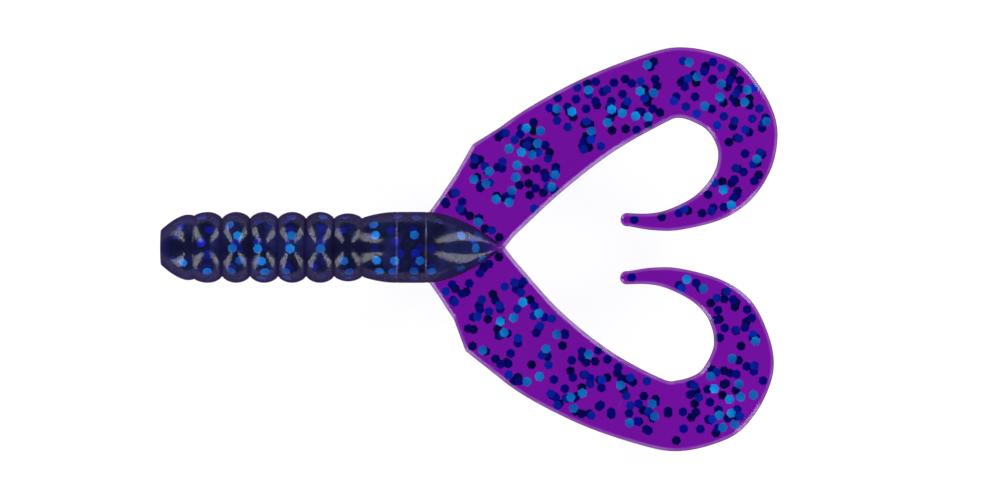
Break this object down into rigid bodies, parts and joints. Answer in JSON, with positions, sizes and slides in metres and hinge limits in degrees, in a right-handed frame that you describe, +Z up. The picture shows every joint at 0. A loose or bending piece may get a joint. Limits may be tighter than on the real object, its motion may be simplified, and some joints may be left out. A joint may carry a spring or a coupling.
{
  "type": "double curl-tail soft plastic grub",
  "caption": "Soft plastic fishing bait with a ribbed body, a bullet-shaped taper and two flat tails that curl back towards each other, with glitter flakes cast inside.",
  "frame": {"origin": "middle of the flat face on the nose", "axes": "+X from the nose to the tails, +Z up out of the flat tails, Z = 0 on the mould's parting plane"},
  "size_m": [0.0702, 0.0458, 0.008],
  "materials": {
    "body_plastic": "clear soft plastic, deep purple, near black where it is thick",
    "tail_plastic": "clear soft plastic, bright purple where it is thin",
    "flake": "blue metallised film, cut in hexagons"
  },
  "bodies": {
    "rear": {"shoulder": "body_plastic", "collar": "body_plastic", "taper": "body_plastic", "tail_web": "tail_plastic", "rear_flakes": "flake"},
    "rib_6_link": {"rib_6": "body_plastic", "rib_6_flakes": "flake"},
    "rib_5_link": {"rib_5": "body_plastic", "rib_5_flakes": "flake"},
    "rib_4_link": {"rib_4": "body_plastic", "rib_4_flakes": "flake"},
    "rib_3_link": {"rib_3": "body_plastic", "rib_3_flakes": "flake"},
    "rib_2_link": {"rib_2": "body_plastic", "rib_2_flakes": "flake"},
    "rib_1_link": {"rib_1": "body_plastic", "rib_1_flakes": "flake"},
    "nose_link": {"nose": "body_plastic", "nose_flakes": "flake"},
    "right_blade_1_link": {"right_blade_1": "tail_plastic", "right_blade_1_flakes": "flake"},
    "right_blade_2_link": {"right_blade_2": "tail_plastic", "right_blade_2_flakes": "flake"},
    "right_curl_link": {"right_curl": "tail_plastic", "right_curl_flakes": "flake"},
    "right_tip_link": {"right_tip": "tail_plastic", "right_tip_flakes": "flake"},
    "left_blade_1_link": {"left_blade_1": "tail_plastic", "left_blade_1_flakes": "flake"},
    "left_blade_2_link": {"left_blade_2": "tail_plastic", "left_blade_2_flakes": "flake"},
    "left_curl_link": {"left_curl": "tail_plastic", "left_curl_flakes": "flake"},
    "left_tip_link": {"left_tip": "tail_plastic", "left_tip_flakes": "flake"}
  },
  "joints": [
    {"name": "arch_7", "type": "hinge", "parent": "rear", "child": "rib_6_link", "pos_m": [0.02284, 0, 0], "axis": [0, 1, 0], "range_deg": [-10, 10], "stiffness_Nm_per_rad": 0.002},
    {"name": "sway_6", "type": "hinge", "parent": "rib_6_link", "child": "rib_5_link", "pos_m": [0.01966, 0, 0], "axis": [0, 0, 1], "range_deg": [-10, 10], "stiffness_Nm_per_rad": 0.002},
    {"name": "arch_5", "type": "hinge", "parent": "rib_5_link", "child": "rib_4_link", "pos_m": [0.01648, 0, 0], "axis": [0, 1, 0], "range_deg": [-10, 10], "stiffness_Nm_per_rad": 0.002},
    {"name": "sway_4", "type": "hinge", "parent": "rib_4_link", "child": "rib_3_link", "pos_m": [0.0133, 0, 0], "axis": [0, 0, 1], "range_deg": [-10, 10], "stiffness_Nm_per_rad": 0.002},
    {"name": "arch_3", "type": "hinge", "parent": "rib_3_link", "child": "rib_2_link", "pos_m": [0.01012, 0, 0], "axis": [0, 1, 0], "range_deg": [-10, 10], "stiffness_Nm_per_rad": 0.002},
    {"name": "sway_2", "type": "hinge", "parent": "rib_2_link", "child": "rib_1_link", "pos_m": [0.00694, 0, 0], "axis": [0, 0, 1], "range_deg": [-10, 10], "stiffness_Nm_per_rad": 0.002},
    {"name": "arch_1", "type": "hinge", "parent": "rib_1_link", "child": "nose_link", "pos_m": [0.00376, 0, 0], "axis": [0, 1, 0], "range_deg": [-10, 10], "stiffness_Nm_per_rad": 0.002},
    {"name": "right_tail_flap", "type": "hinge", "parent": "rear", "child": "right_blade_1_link", "pos_m": [0.03675, 0.00475, 0], "axis": [0.6966, -0.7174, 0], "range_deg": [-22, 22], "stiffness_Nm_per_rad": 0.002},
    {"name": "right_blade_2_bend", "type": "hinge", "parent": "right_blade_1_link", "child": "right_blade_2_link", "pos_m": [0.04578, 0.01271, 0], "axis": [0.6028, -0.7979, 0], "range_deg": [-17.6, 17.6], "stiffness_Nm_per_rad": 0.002},
    {"name": "right_curl_bend", "type": "hinge", "parent": "right_blade_2_link", "child": "right_curl_link", "pos_m": [0.05758, 0.01855, 0], "axis": [0.1367, -0.9906, 0], "range_deg": [-15.4, 15.4], "stiffness_Nm_per_rad": 0.002},
    {"name": "right_tip_bend", "type": "hinge", "parent": "right_curl_link", "child": "right_tip_link", "pos_m": [0.06665, 0.0113, 0], "axis": [-0.9658, -0.2595, 0], "range_deg": [-13.2, 13.2], "stiffness_Nm_per_rad": 0.002},
    {"name": "left_tail_flap", "type": "hinge", "parent": "rear", "child": "left_blade_1_link", "pos_m": [0.03667, -0.00476, 0], "axis": [-0.709, -0.7052, 0], "range_deg": [-22, 22], "stiffness_Nm_per_rad": 0.002},
    {"name": "left_blade_2_bend", "type": "hinge", "parent": "left_blade_1_link", "child": "left_blade_2_link", "pos_m": [0.04546, -0.01372, 0], "axis": [-0.6054, -0.7959, 0], "range_deg": [-17.6, 17.6], "stiffness_Nm_per_rad": 0.002},
    {"name": "left_curl_bend", "type": "hinge", "parent": "left_blade_2_link", "child": "left_curl_link", "pos_m": [0.05719, -0.01909, 0], "axis": [-0.1556, -0.9878, 0], "range_deg": [-15.4, 15.4], "stiffness_Nm_per_rad": 0.002},
    {"name": "left_tip_bend", "type": "hinge", "parent": "left_curl_link", "child": "left_tip_link", "pos_m": [0.0662, -0.01178, 0], "axis": [0.9658, -0.2594, 0], "range_deg": [-13.2, 13.2], "stiffness_Nm_per_rad": 0.002}
  ],
  "couplings": [
    {"joint": "arch_5", "follows": "arch_7", "ratio": 1},
    {"joint": "sway_4", "follows": "sway_6", "ratio": 1},
    {"joint": "arch_3", "follows": "arch_7", "ratio": 1},
    {"joint": "sway_2", "follows": "sway_6", "ratio": 1},
    {"joint": "arch_1", "follows": "arch_7", "ratio": 1},
    {"joint": "right_blade_2_bend", "follows": "right_tail_flap", "ratio": 0.8},
    {"joint": "right_curl_bend", "follows": "right_tail_flap", "ratio": 0.7},
    {"joint": "right_tip_bend", "follows": "right_tail_flap", "ratio": 0.6},
    {"joint": "left_blade_2_bend", "follows": "left_tail_flap", "ratio": 0.8},
    {"joint": "left_curl_bend", "follows": "left_tail_flap", "ratio": 0.7},
    {"joint": "left_tip_bend", "follows": "left_tail_flap", "ratio": 0.6}
  ]
}
